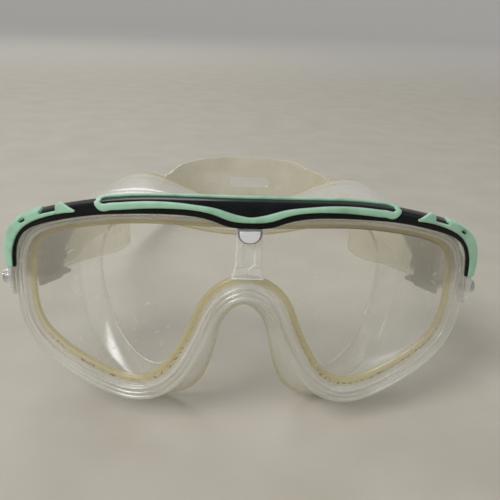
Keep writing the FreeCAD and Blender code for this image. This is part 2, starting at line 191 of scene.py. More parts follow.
def grid_quads(nu, nv, loop_u=False, loop_v=False):
    """Corners of the quads between neighbours on a grid of nu by nv points."""
    i, j = np.meshgrid(np.arange(nu if loop_u else nu - 1), np.arange(nv if loop_v else nv - 1),
                       indexing="ij")
    i2, j2 = (i + 1) % nu, (j + 1) % nv
    return np.stack([i * nv + j, i2 * nv + j, i2 * nv + j2, i * nv + j2], -1).reshape(-1, 4)


def mesh_piece(name, points, faces, material):
    """Smooth-shaded mesh object from points in metres and faces."""
    mesh = bpy.data.meshes.new(name)
    mesh.from_pydata(points, [], faces)
    mesh.polygons.foreach_set("use_smooth", np.ones(len(faces), bool))
    mesh.materials.append(material)
    piece = bpy.data.objects.new(name, mesh)
    bpy.context.scene.collection.objects.link(piece)
    return piece


def grid_piece(name, grid, material, loop_u=False, cap_u=False, uv=None, weld=False):
    """Piece from a grid of points in mm, closed round v and, where asked, round u. Its open ends
    can be capped. Faces are turned outwards: the volume they enclose, a sum of triple products
    of their corners, has to come out positive."""
    grid = np.asarray(grid, float)
    nu, nv = grid.shape[:2]
    points = grid.reshape(-1, 3) * MM
    points[:, 1] += row_shift
    quads = grid_quads(nu, nv, loop_u, True)
    a, b, c, d = (points[quads[:, k]] for k in range(4))
    inside_out = (a * np.cross(b, c)).sum() + (a * np.cross(c, d)).sum() < 0
    faces = (quads[:, ::-1] if inside_out else quads).tolist()
    if cap_u:
        first = np.arange(nv)
        last = first + (nu - 1) * nv
        ends = [first[::-1], last]
        faces += [(end[::-1] if inside_out else end).tolist() for end in ends]
    piece = mesh_piece(name, points, faces, material)
    mesh = piece.data
    if uv is not None:
        layer = mesh.uv_layers.new(name="surface")
        loops = np.zeros(len(mesh.loops), np.int32)
        mesh.loops.foreach_get("vertex_index", loops)
        layer.data.foreach_set("uv", (np.asarray(uv, float).reshape(-1, 2) * MM)[loops].ravel())
    if weld:
        shape = bmesh.new()
        shape.from_mesh(mesh)
        bmesh.ops.remove_doubles(shape, verts=shape.verts, dist=1e-6)
        bmesh.ops.dissolve_degenerate(shape, edges=shape.edges, dist=1e-7)
        bmesh.ops.recalc_face_normals(shape, faces=shape.faces)
        shape.to_mesh(mesh)
        shape.free()
    return piece


RIM_HALF = [(0, 82.0), (18, 82.0), (36, 81.2), (52, 78.2), (66, 73.6), (75, 67.4), (79.4, 58.5),
            (80.6, 46), (80.0, 35.5), (76.6, 26.8), (69.5, 20.0), (58, 14.2), (47, 10.6), (37, 9.6),
            (28.5, 12.2), (20.8, 19), (15.2, 28.5), (11, 38), (7.4, 46), (0, 50.4)]
LENS_INSET = 4.0
LENS_GAP = 0.02
LENS_THICKNESS = 2.2
NUDGE = 1e-4  # share of a curve's length over which its direction is taken
rim_line = spline(mirrored(RIM_HALF), closed=True)


def rim_frame(share):
    """Front-view points of the rim's outline and the unit normal that points inwards."""
    share = np.asarray(share, float)
    tangent = unit(rim_line(share + NUDGE) - rim_line(share - NUDGE))
    return rim_line(share), np.stack([tangent[:, 1], -tangent[:, 0]], 1)


def lens_grid(columns=360, rows=40):
    """Pane as a function of sideways share u and height share v: x runs as a cosine between
    the two tips, z between the lower and upper edge there, y follows the wrap; the front and
    the back sheet are joined round the edge."""
    point, inward = rim_frame(np.linspace(0, 1, 4000, endpoint=False))
    edge = point + inward * (LENS_INSET + LENS_GAP)
    tip = np.argmax(edge[:, 0])
    far = np.argmin(edge[:, 0])
    lower = edge[tip:far + 1][::-1]
    upper = np.vstack([edge[far:], edge[:tip + 1]])
    x = edge[tip, 0] * -np.cos(np.linspace(0, np.pi, columns))
    z_low = np.interp(x, lower[:, 0], lower[:, 1])
    z_high = np.interp(x, upper[:, 0], upper[:, 1])
    share = (1 - np.cos(np.linspace(0, np.pi, rows))) / 2
    z = z_low[:, None] + (z_high - z_low)[:, None] * share
    xx = np.repeat(x[:, None], rows, 1)
    return np.concatenate([on_wrap(xx, z), on_wrap(xx, z, LENS_THICKNESS)[:, ::-1]], 1)


# Three layers of scratches, each with its lean and the size of its noise in metres. They are
# drawn some 0.5 mm wide and 5 mm long, coarser than real ones, so that they show.
SCRATCHES = [((0.0, 0.95, 0.0), (0.0008, 0.004, 0.007)), ((0.0, -0.75, 0.0), (0.0007, 0.004, 0.006)),
             ((0.0, 0.1, 0.0), (0.0008, 0.004, 0.005))]


def lens_material():
    """Hard-coated polycarbonate: near-clear straw tint, sharp gloss, faint haze and scratches."""
    m, where = new_material("hard_coated_polycarbonate")
    lines = None
    for lean, size in SCRATCHES:
        along = add_node(m, "Mapping", {"Rotation": lean, "Scale": size}, {"Vector": (where, "Object")},
                         vector_type="TEXTURE")
        scratch = add_node(m, "TexNoise", {"Scale": 1.0, "Detail": 1.0}, {"Vector": along})
        cut = add_node(m, "ValToRGB", None, {"Fac": scratch}, [(0.74, 0), (0.79, 1)])
        lines = cut if lines is None else add_node(m, "Math", None, {0: lines, 1: cut}, operation="MAXIMUM")
    haze = add_node(m, "TexNoise", {"Scale": 38.0, "Detail": 5.0, "Roughness": 0.62},
                    {"Vector": (where, "Object")})
    cloud = add_node(m, "ValToRGB", None, {"Fac": haze}, [(0.42, 0.012), (0.72, 0.05)])
    facing = add_node(m, "LayerWeight", {"Blend": 0.32})
    glance = add_node(m, "Math", {1: 0.2}, {0: (facing, "Facing")}, operation="MULTIPLY")
    marks = add_node(m, "Math", {1: 0.4}, {0: lines}, operation="MULTIPLY")
    body = add_node(m, "Math", None, {0: cloud, 1: glance}, operation="ADD")
    alpha = add_node(m, "Math", None, {0: body, 1: marks}, operation="ADD", use_clamp=True)
    tint = add_node(m, "ValToRGB", None, {"Fac": haze}, [(0.3, "#D9D4BE"), (0.7, "#E8E6DA")])
    rough = add_node(m, "ValToRGB", None, {"Fac": haze}, [(0.35, 0.06), (0.75, 0.16)])
    bump = add_node(m, "Bump", {"Strength": 0.12, "Distance": 0.0001}, {"Height": lines})
    shader = add_node(m, "BsdfPrincipled", {"IOR": 1.58, "Specular IOR Level": 0.1},
                      {"Base Color": tint, "Roughness": rough, "Alpha": alpha, "Normal": bump})
    return finish_material(m, glazed(m, shader, rough, 0.035, 0.45))


lens = grid_piece("lens_pane", lens_grid(), lens_material(), weld=True)
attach(lens, "mask")
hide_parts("lens")


# ---------------------------------------------------------------- rim bead
# Soft bead of clear silicone moulded round the pane's edge: two fine grooves run all
# the way round its front, and its flange shows through the pane as a yellowed band.
RIM_STATIONS = 520


def arc_length(points):
    """Distance along a run of points: the running sum of the steps between neighbours."""
    return np.concatenate([[0], np.cumsum(np.linalg.norm(np.diff(points, axis=0), axis=1))])


def soften(profile, count, passes):
    """Closed profile resampled at even steps; a few neighbour averages round its corners."""
    p = np.asarray(profile, float)
    ring = np.vstack([p, p[:1]])
    length = arc_length(ring)
    u = np.linspace(0, length[-1], count, endpoint=False)
    q = np.stack([np.interp(u, length, ring[:, k]) for k in range(p.shape[1])], 1)
    for _ in range(passes):
        q = q * 0.5 + (np.roll(q, 1, 0) + np.roll(q, -1, 0)) * 0.25
    return q


def rim_sweep(profile):
    """Profile of (inset, depth) pairs carried round the rim's outline; depth follows the wrap."""
    point, inward = rim_frame(np.linspace(0, 1, RIM_STATIONS, endpoint=False))
    inset, depth = profile[:, 0], profile[:, 1]
    x = point[:, None, 0] + inward[:, None, 0] * inset
    z = point[:, None, 1] + inward[:, None, 1] * inset
    return on_wrap(x, z, depth)


def section_cover(m, where, stops):
    """Cover along the section: stops are (place across the section in mm, cover there)."""
    first, last = stops[0][0], stops[-1][0]
    split = add_node(m, "SeparateXYZ", None, {0: (where, "UV")})
    share = add_node(m, "MapRange", {"From Min": first * MM, "From Max": last * MM},
                     {"Value": (split, "Y")})
    shares = [((at - first) / (last - first), value) for at, value in stops]
    return add_node(m, "ValToRGB", None, {"Fac": share}, shares)


def milky_body(m, where, noise, blend, veil, most, tints, roughs):
    """Cover, colour and roughness of a clear moulding: its veil thickens as the surface turns
    edge-on, and one cloudy noise adds up to `most` to it and mottles the other two."""
    cloud = add_node(m, "TexNoise", noise, {"Vector": (where, "Object")})
    facing = add_node(m, "LayerWeight", {"Blend": blend})
    depth = add_node(m, "ValToRGB", None, {"Fac": (facing, "Facing")}, veil)
    sway = add_node(m, "MapRange", {"From Min": 0.3, "From Max": 0.7, "To Min": -0.05, "To Max": most},
                    {"Value": cloud})
    cover = add_node(m, "Math", None, {0: depth, 1: sway}, operation="ADD", use_clamp=True)
    return (cover, *(add_node(m, "ValToRGB", None, {"Fac": cloud}, stops) for stops in (tints, roughs)))


def silicone_material(name, dense, thin, low, high, yellowing=None, soil=None):
    """Clear silicone rubber that has yellowed: milky where the eye looks along the wall, nearly
    clear face on, with cloudy patches some 15 mm wide. `yellowing` and `soil` add the nodes
    that say where thick rubber has yellowed most and where dirt has settled."""
    m, where = new_material(name)
    cover, base, rough = milky_body(
        m, where, {"Scale": 55.0, "Detail": 4.0, "Roughness": 0.55, "Distortion": 0.4}, 0.42,
        [(0.0, low), (0.55, (low + high) / 2), (1.0, high)], 0.06,
        [(0.3, thin), (0.75, dense)], [(0.3, 0.12), (0.7, 0.24)])
    if yellowing:
        most = yellowing(m, where)
        band = add_node(m, "Math", {1: 1.8}, {0: most}, operation="MULTIPLY", use_clamp=True)
        aged = add_node(m, "Mix", {"B": "#C6B776"}, {"Factor": band, "A": base}, data_type="RGBA")
        base = (aged, "Result")
        cover = add_node(m, "Math", None, {0: cover, 1: most}, operation="MAXIMUM")
    if soil:
        dirt = soil(m, where)
        soiled = add_node(m, "Mix", {"B": "#4A3A22"}, {"Factor": dirt, "A": base}, data_type="RGBA")
        base = (soiled, "Result")
        cover = add_node(m, "Math", None, {0: cover, 1: dirt}, operation="MAXIMUM")
    dust = add_node(m, "TexNoise", {"Scale": 700.0, "Detail": 3.0}, {"Vector": (where, "Object")})
    bump = add_node(m, "Bump", {"Strength": 0.15, "Distance": 0.0002}, {"Height": dust})
    shader = add_node(m, "BsdfPrincipled", {"IOR": 1.41, "Roughness": 0.5, "Specular IOR Level": 0.1},
                      {"Base Color": base, "Alpha": cover, "Normal": bump})
    return finish_material(m, glazed(m, shader, rough))


# The bead's section as (inset from the outline, depth behind the pane's front), in mm.
BEAD = [(0.0, 4.6), (0.0, 0.2), (0.35, -0.75), (1.0, -1.35), (1.75, -1.35), (2.1, -0.6), (2.45, -1.3),
        (3.25, -1.25), (3.6, -0.5), (3.95, -1.05), (4.7, -0.95), (5.15, -0.4), (5.2, 0.03), (4.05, 0.03),
        (4.05, 2.17), (7.3, 2.17), (7.6, 2.5), (7.6, 4.6), (7.2, 5.0), (0.4, 5.0)]


def flange_yellowing(m, where):
    """The flange behind the pane's edge is the thickest rubber: an even straw band."""
    return section_cover(m, where, [(4.9, 0.0), (5.6, 0.5), (7.6, 0.6)])


def flange_soil(m, where):
    """Half-millimetre sand specks in a line along the flange's lower half, and a thin brown line
    of dirt on its inner edge at the upper corners, stronger at +X."""
    place = add_node(m, "SeparateXYZ", None, {0: (where, "Object")})
    sand = add_node(m, "TexNoise", {"Scale": 1200.0, "Detail": 2.0}, {"Vector": (where, "Object")})
    inner = section_cover(m, where, [(5.3, 0.0), (5.6, 1.0), (6.3, 1.0), (6.8, 0.0)])
    edge = section_cover(m, where, [(6.95, 0.0), (7.05, 0.85), (7.6, 0.85)])
    lower = add_node(m, "MapRange", {"From Min": 0.048, "From Max": 0.026}, {"Value": (place, "Z")})
    speck = add_node(m, "ValToRGB", None, {"Fac": sand}, [(0.56, 0), (0.59, 0.9)])
    sand = add_node(m, "Math", None, {0: speck, 1: lower}, operation="MULTIPLY")
    sand = add_node(m, "Math", None, {0: sand, 1: inner}, operation="MULTIPLY")
    upper = add_node(m, "MapRange", {"From Min": 0.058, "From Max": 0.066}, {"Value": (place, "Z")})
    side = add_node(m, "MapRange", {"From Min": 0.0, "From Max": 0.03, "To Min": 0.2},
                    {"Value": (place, "X")})
    corner = add_node(m, "Math", None, {0: upper, 1: side}, operation="MULTIPLY")
    line = add_node(m, "Math", None, {0: edge, 1: corner}, operation="MULTIPLY")
    return add_node(m, "Math", None, {0: sand, 1: line}, operation="MAXIMUM")


bead_finish = silicone_material("yellowed_clear_silicone", "#CFCBB8", "#E4E4DF", 0.11, 0.62,
                                flange_yellowing, flange_soil)
bead_section = soften(BEAD, 96, 2)
bead_uv = np.stack(np.broadcast_arrays(np.linspace(0, RIM_STATIONS, RIM_STATIONS)[:, None],
                                       bead_section[None, :, 0]), -1)
bead = grid_piece("rim_bead_grooved", rim_sweep(bead_section), bead_finish, loop_u=True, uv=bead_uv)
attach(bead, "mask")
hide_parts("rim_bead")


# ---------------------------------------------------------------- skirt and sealing lip
# Thin silicone wall that runs back from the rim to the face, with shallow steps near the
# rim, and turns inwards into a feathered lip. One moulding, softer and clearer than the bead.
LIP_OUTER = [(0, 35, 72), (17, 36, 74.8), (36, 37.8, 81.4), (46.5, 39.8, 78), (52, 41.8, 69),
             (58.4, 43.8, 59.8), (62.7, 45, 51), (64, 45.2, 42), (63, 43.5, 31), (60, 39.5, 20),
             (53.5, 33, 10.5), (45, 26.5, 4.6), (36, 21.5, 1.5), (28, 18.5, 0.9), (20.5, 15.6, 4.0),
             (14.8, 13, 10.8), (11.3, 11.6, 19.5), (9.2, 11.2, 28.5), (6.4, 11.6, 37), (0, 12, 41.6)]
LIP_INNER = [(0, 38.5, 57.8), (14, 39, 58.7), (28, 40.5, 61.2), (40, 43.3, 62.6), (48, 45.8, 60),
             (52.5, 47.3, 54), (54.5, 47.8, 47), (55, 47.6, 40), (54, 46, 32.5), (51, 42, 24.5),
             (46.5, 36, 17.5), (41, 30, 13), (35.5, 25.5, 11), (30, 22.8, 11.2), (24.5, 20.8, 14.5),
             (20, 19.6, 20.5), (16.8, 19.2, 27), (14, 19.6, 34.5), (10, 20.8, 42), (0, 23, 47.5)]
SKIRT_TOP = 4.9  # depth where the wall leaves the bead
SKIRT_OUT, SKIRT_IN = 0.45, 2.1  # insets of its outer and inner skins there
STEPS = [(0.1, 0.28, 0.022), (0.2, 0.28, 0.022), (0.3, 0.22, 0.025)]  # share down the wall, rise, width
WALL_SAG = 0.5


def matched(half, stations):
    """Points of a closed curve at shares that keep step with the rim's own stations."""
    curve = spline(mirrored(half), closed=True)
    shares = np.append(rim_line.shares[:-1], 1.0)
    own = np.append(curve.shares[:-1], 1.0)
    return curve(np.interp(stations, shares, own))


def skirt_grid():
    """Skirt as a function of the share round the rim and the share along its section: the outer
    skin runs straight from the rim to the lip, less a squared half sine, with shallow steps that
    are bell curves. The lip bows as a half sine and thins to its free edge, and the inner skin
    comes back."""
    stations = np.linspace(0, 1, RIM_STATIONS, endpoint=False)
    point, inward = rim_frame(stations)

    def rim_at(inset):
        """The rim's outline moved inwards, at the depth where the wall leaves it."""
        plan = point + inward * inset
        return on_wrap(plan[:, 0], plan[:, 1], SKIRT_TOP)

    def lay(start, end, shares, shift):
        """Straight rows from one loop to another, each moved by its shift."""
        return start[None] + (end - start)[None] * shares[:, None, None] + shift

    outer, inner = matched(LIP_OUTER, stations), matched(LIP_INNER, stations)
    push = np.stack([inward[:, 0], np.zeros(RIM_STATIONS), inward[:, 1]], 1)
    back_in = outer + (inner - outer) * 0.09 - np.array([0, 0.5, 0])
    along = np.linspace(0, 1, 44)
    step = sum(rise * np.exp(-((along - at) / width) ** 2) for at, rise, width in STEPS) \
        - WALL_SAG * np.sin(np.pi * along) ** 2
    wall = push[None] * step[:, None, None]
    lip = np.concatenate([np.linspace(0.015, 0.9, 20), 1 - 0.1 * np.cos(np.linspace(0, np.pi / 2, 9))[1:]])
    bow = 0.8 * np.sin(np.pi * lip)
    swell = 0.55 * np.sqrt(np.clip(1 - ((lip - 0.95) / 0.05) ** 2, 0, 1))
    rear = bow + np.maximum(1.0 - 0.6 * lip, 0.2 + swell)
    near = bow + 0.02 - swell
    backwards = np.array([0, 1.0, 0])
    grid = np.concatenate([
        lay(rim_at(SKIRT_OUT), outer, along, wall),
        lay(outer, inner, lip, rear[:, None, None] * backwards),
        lay(outer, inner, lip[::-1][1:-2], near[::-1][1:-2, None, None] * backwards),
        lay(rim_at(SKIRT_IN), back_in, along[::-1], wall[::-1])])
    shares = np.concatenate([along - 1, lip, lip[::-1][1:-2], along[::-1] - 1])
    uv = np.stack(np.broadcast_arrays(stations[:, None] * 500, shares[None] * 10), -1)
    return grid.swapaxes(0, 1), uv


def skirt_yellowing(m, where):
    """Two thick lines have yellowed: the fold round the nose pocket, and the lip's free edge,
    a double line that is strongest across the brow."""
    place = add_node(m, "SeparateXYZ", None, {0: (where, "Object")})
    off_centre = add_node(m, "Math", None, {0: (place, "X")}, operation="ABSOLUTE")
    near_nose = add_node(m, "MapRange", {"From Min": 0.034, "From Max": 0.05, "To Min": 1.0, "To Max": 0.12},
                         {"Value": off_centre})
    brow = add_node(m, "MapRange", {"From Min": 0.05, "From Max": 0.057, "To Min": 0.3, "To Max": 1.0},
                    {"Value": (place, "Z")})
    fold = section_cover(m, where, [(-0.9, 0.0), (-0.4, 0.55), (0.3, 0.55), (0.9, 0.0)])
    lip = section_cover(m, where, [(8.6, 0.0), (8.8, 0.62), (9.1, 0.3), (9.4, 0.3), (9.6, 0.62), (10.0, 0.62)])
    fold = add_node(m, "Math", None, {0: fold, 1: near_nose}, operation="MULTIPLY")
    lip = add_node(m, "Math", None, {0: lip, 1: brow}, operation="MULTIPLY")
    return add_node(m, "Math", None, {0: fold, 1: lip}, operation="MAXIMUM")


skirt_finish = silicone_material("clear_soft_silicone", "#CBC7B2", "#E2E2DC", 0.05, 0.50, skirt_yellowing)
skirt_points, skirt_uv = skirt_grid()
skirt = grid_piece("face_skirt", skirt_points, skirt_finish, loop_u=True, uv=skirt_uv)
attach(skirt, "mask")
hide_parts("skirt_wall", "face_lip")


# ---------------------------------------------------------------- brow bar
# Rigid bar of glossy black ABS that clips over the rim's top and corners. Its face is
# crowned, its roof runs back over the rim, and it dips at the middle to meet the post.
BAR_TOP = [(0, 84.6), (20, 84.3), (38, 82.9), (50, 80.4), (60, 77.5), (68, 74.6), (75, 70.9),
           (79.4, 66.6), (81.5, 61.5), (82.0, 56.5), (81.6, 52.4)]
BAR_LOW = [(0, 76.0), (3.4, 76.0), (6.6, 76.3), (11, 77.8), (17, 79.1), (25, 79.3), (38, 78.2), (48, 76.6),
           (57, 74.2), (66, 71), (72.4, 67.6), (75.6, 64.4), (77.4, 60.8), (78.2, 57), (78.6, 52.4)]
# The bar's section as (height share from lower to top line, outward shift, depth), in mm.
BAR_SECTION = [(0, 0, -1.45), (0, 0, -2.7), (0.06, 0, -3.05), (0.2, 0, -3.16), (0.4, 0, -3.2), (0.62, 0, -3.2),
               (0.8, 0, -3.05), (0.93, 0, -2.5), (1, -0.05, -1.5), (1, 0, 0), (1, 0, 1.6), (1, -0.3, 2.45),
               (1, -0.95, 2.55), (1, -1.2, 2.2), (1, -1.25, 0.6), (1, -1.25, -1), (1, -1.6, -1.45),
               (0.6, 0, -1.45), (0.3, 0, -1.45)]
BAR_HEIGHT = 8  # mm that a full height share counts as where the section's corners are rounded


def both_sides(half):
    """Left-to-right run from a half run that starts at the middle."""
    return [(-x, z) for x, z in reversed(half[1:])] + list(half)


bar_top = spline(both_sides(BAR_TOP))
bar_low = spline(both_sides(BAR_LOW))


def run_frame(curve, share):
    """Points of a left-to-right curve and the unit normal on its upper, outer side."""
    tangent = unit(curve(np.minimum(share + NUDGE, 1)) - curve(np.maximum(share - NUDGE, 0)))
    return curve(share), np.stack([-tangent[:, 1], tangent[:, 0]], 1)


def nearest_along(points, run):
    """For each point, the index of the nearest point of a run, never stepping back."""
    away = ((points[:, None] - run[None]) ** 2).sum(-1)
    return np.maximum.accumulate(away.argmin(1))


def bar_partner(top_points, fine_count=1200, window=9):
    """For each point of the bar's top line, the nearest point of its lower line. A running mean
    evens the steps out."""
    nearest = nearest_along(top_points, bar_low(np.linspace(0, 1, fine_count))).astype(float)
    padded = np.pad(nearest, window // 2, mode="edge")
    return bar_low(np.convolve(padded, np.ones(window) / window, "valid") / (fine_count - 1))


def soft_section(section, height, count, passes):
    """A section of (height share, shift, depth), softened as if it were `height` mm tall."""
    return soften(np.array(section) * [height, 1, 1], count, passes) / [height, 1, 1]


def bar_grid(count=420):
    """Bar as a function of the share from end to end and the share round its section: a point
    lies at its height share between the two lines, moved out along the top line's normal."""
    top, normal = run_frame(bar_top, np.linspace(0, 1, count))
    low = bar_partner(top)
    s = soft_section(BAR_SECTION, BAR_HEIGHT, 84, 3)
    plan = low[:, None] + (top - low)[:, None] * s[None, :, :1] + normal[:, None] * s[None, :, 1:2]
    return on_wrap(plan[..., 0], plan[..., 1], s[:, 2])


def solid_material(name, mottle, colours, roughs, settings, fine=None, strength=0.0, stretch=None):
    """Opaque part: one noise mottles its colour and its roughness, and a `fine` one gives the
    surface its grain. `stretch` draws the mottle out into lines."""
    m, where = new_material(name)
    source = (where, "Object")
    if stretch:
        source = add_node(m, "Mapping", {"Scale": stretch}, {"Vector": source})
    cloud = add_node(m, "TexNoise", mottle, {"Vector": source})
    links = {"Base Color": add_node(m, "ValToRGB", None, {"Fac": cloud}, colours),
             "Roughness": add_node(m, "ValToRGB", None, {"Fac": cloud}, roughs)}
    if fine:
        grain = add_node(m, "TexNoise", fine, {"Vector": (where, "Object")})
        links["Normal"] = add_node(m, "Bump", {"Strength": strength, "Distance": 0.0001}, {"Height": grain})
    return finish_material(m, add_node(m, "BsdfPrincipled", settings, links))


# Moulded ABS with a polished face: mirror-like, with a trace of handling haze.
bar_finish = solid_material(
    "polished_black_abs", {"Scale": 90.0, "Detail": 6.0, "Roughness": 0.65},
    [(0.35, "#0B0C0D"), (0.75, "#17191A")], [(0.35, 0.12), (0.75, 0.3)],
    {"IOR": 1.5, "Specular IOR Level": 0.14}, {"Scale": 1400.0, "Detail": 2.0}, 0.04)
bar = grid_piece("brow_bar", bar_grid(), bar_finish, cap_u=True)
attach(bar, "mask")
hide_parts("top_bar")


# ---------------------------------------------------------------- soft trims
# Mint-green thermoplastic rubber moulded onto the bar: one long closed loop in the middle
# and a corner trim each side with a hump, a slot and a drain hole.
LIMB_TOP = [(0, 80.0), (3, 80.4), (6, 81.1), (10, 82.3), (16, 83.1), (24, 83.5), (34, 82.9), (42, 81.6),
            (46, 80.9)]
LIMB_LOW = [(0, 78.2), (3.5, 78.3), (6.5, 78.8), (9.5, 79.9), (14, 81.1), (22, 81.6), (32, 80.9), (42, 79.3),
            (46, 78.6)]
BAR_FACE = -3.2
LOOP_HEIGHT = 0.75
LOOP_ENDS = [0.95, 0.9, 0.8]  # half widths where the loop climbs over the bar's crest
LOOP_REAR = 0.6


def superround(value, power):
    """A cosine or sine raised to a power below 1, its sign kept: a circle grows squarer."""
    return np.sign(value) * np.abs(value) ** power


def ribbon_sweep(path, normal, half_width, height, section_count=20):
    """Rounded strip carried along a closed path: a half-round profile stands on the surface
    whose unit normal is given, as wide as asked at each point."""
    tangent = unit(np.roll(path, -1, 0) - np.roll(path, 1, 0))
    across = unit(np.cross(normal, tangent))
    angle = np.linspace(0, 2 * np.pi, section_count, endpoint=False)
    wide = superround(np.cos(angle), 0.6)
    tall = np.where(np.sin(angle) > 0, np.abs(np.sin(angle)) ** 0.6, -0.35)
    return path[:, None] + across[:, None] * (half_width[:, None] * wide)[..., None] \
        + normal[:, None] * (height * tall)[:, None]


def radial(x):
    """Unit normal of the wrap, pointing forwards, at the sideways distance x."""
    return np.stack([x / WRAP_RADIUS, -np.sqrt(1 - (x / WRAP_RADIUS) ** 2), np.zeros_like(x)], 1)


def loop_trim_grid(count=640):
    """Closed loop: along the bar's face under its crest, over the roof near each end, and back
    as a thin line along the roof's rear edge. Place, normal and width are one closed spline."""
    share = np.linspace(0, 1, 37)
    top = spline(both_sides(LIMB_TOP))(share)
    low = spline(both_sides(LIMB_LOW))(share)
    middle = (top + low) / 2
    lower = on_wrap(middle[:, 0], middle[:, 1], BAR_FACE)
    upper_x = np.linspace(45.2, -45.2, 25)
    crest_x, crest_z = bar_top(np.linspace(0, 1, 900)).T
    upper = on_wrap(upper_x, np.interp(upper_x, crest_x, crest_z), 1.6)
    crest = np.interp(46.6, crest_x, crest_z)
    end = on_wrap(np.array([47.3, 47.2, 46.9]), np.array([80.9, crest - 0.35, crest]),
                  np.array([-3.1, -1.6, 0.2]))
    flip = [-1, 1, 1]
    path_points = np.vstack([lower, end, upper, (end * flip)[::-1]])
    ahead_share, up_share = np.array([[0.9], [0.55], [0.0]]), np.array([[0.3], [0.85], [1.0]])
    tilt = radial(end[:, 0]) * ahead_share + np.array([0, 0, 1.0]) * up_share
    roof = np.tile([0, 0, 1.0], (len(upper), 1))
    normals = np.vstack([radial(lower[:, 0]), tilt, roof, (tilt * flip)[::-1]])
    half = np.concatenate([(top - low)[:, 1] / 2, LOOP_ENDS, np.full(len(upper), LOOP_REAR), LOOP_ENDS[::-1]])
    u = np.linspace(0, 1, count, endpoint=False)
    packed = spline(np.hstack([path_points, normals * 4, half[:, None]]), closed=True)(u)
    return ribbon_sweep(packed[:, :3], unit(packed[:, 3:6]), packed[:, 6], LOOP_HEIGHT)


# Soft matt rubber: a pale mint with worn, slightly darker handling patches and fine satin.
mint = solid_material(
    "mint_soft_tpe", {"Scale": 120.0, "Detail": 5.0, "Roughness": 0.6},
    [(0.32, "#83AE92"), (0.5, "#98C3A8"), (0.75, "#A8D0B5")], [(0.3, 0.38), (0.7, 0.52)],
    {"IOR": 1.5, "Sheen Weight": 0.15, "Sheen Roughness": 0.5}, {"Scale": 1100.0, "Detail": 3.0}, 0.15)
loop_trim = grid_piece("centre_loop_trim", loop_trim_grid(), mint, loop_u=True)
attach(loop_trim, "mask")
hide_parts("centre_trim")

TRIM_HEIGHT = 0.8
TRIM_WIDTH = 2.6
SIDE_OUT = [(54.8, 77.6), (57.4, 78.6), (59.8, 79.6), (61.2, 78.4), (66, 76.6), (71.5, 73.9), (76.4, 70.3),
            (79.8, 65.4), (81.4, 60.6), (81.9, 56.4), (81.5, 52.5)]
SIDE_IN = [(54.8, 77.0), (60, 75.6), (66, 73.3), (71, 70.6), (75, 67.2), (77.8, 62.8), (79.2, 58),
           (79.5, 52.5)]
# Both of the trim's sections, in the bar section's measures, share their lower half.
LOWER_HALF = [(0, 0, -2), (0, 0, -3.4), (0.06, 0, -3.85), (0.2, 0, -4), (0.5, 0, -4), (0.8, 0, -4)]
FACE_SECTION = LOWER_HALF + [(0.94, 0, -3.85), (1, -0.05, -3.4), (1, -0.1, -3), (1, -0.2, -2.8),
                             (1, -0.3, -2.6), (1, -0.5, -2.4), (1, -0.8, -2.2), (0.8, -0.3, -2), (0.4, 0, -2)]
WRAP_SECTION = LOWER_HALF + [(0.94, -0.05, -3.8), (1, -0.1, -3.3), (1, 0, -1.5), (1, 0, 0.5), (1, -0.2, 0.95),
                             (1, -0.8, 0.95), (1, -1.35, 0.2), (1, -1.35, -1.4), (0.4, 0, -2)]
HUMP_END, HUMP_BLEND = 61.2, 1.2
SLOT_AT, SLOT_LEAN, SLOT_HALF, SLOT_FOOT, SLOT_SHIFT, SLOT_END = (64.6, 75.8), 20, 2.75, -0.65, 0.35, 2.4
HOLE_AT, HOLE_LEAN, HOLE_HALF = (74.2, 70.8), 36, 0.7
CUT_RADIUS, CUT_SLOPE, CUT_FLOOR = 0.65, 0.3, -1.95


def smoothstep(share):
    """Eases a share in and out: its square times three less twice the share."""
    return share * share * (3 - 2 * share)


def leaning(x, z, at, lean):
    """Place in a frame that stands at `at` and leans by `lean` degrees."""
    c, s = np.cos(np.radians(lean)), np.sin(np.radians(lean))
    return (x - at[0]) * c - (z - at[1]) * s, (x - at[0]) * s + (z - at[1]) * c


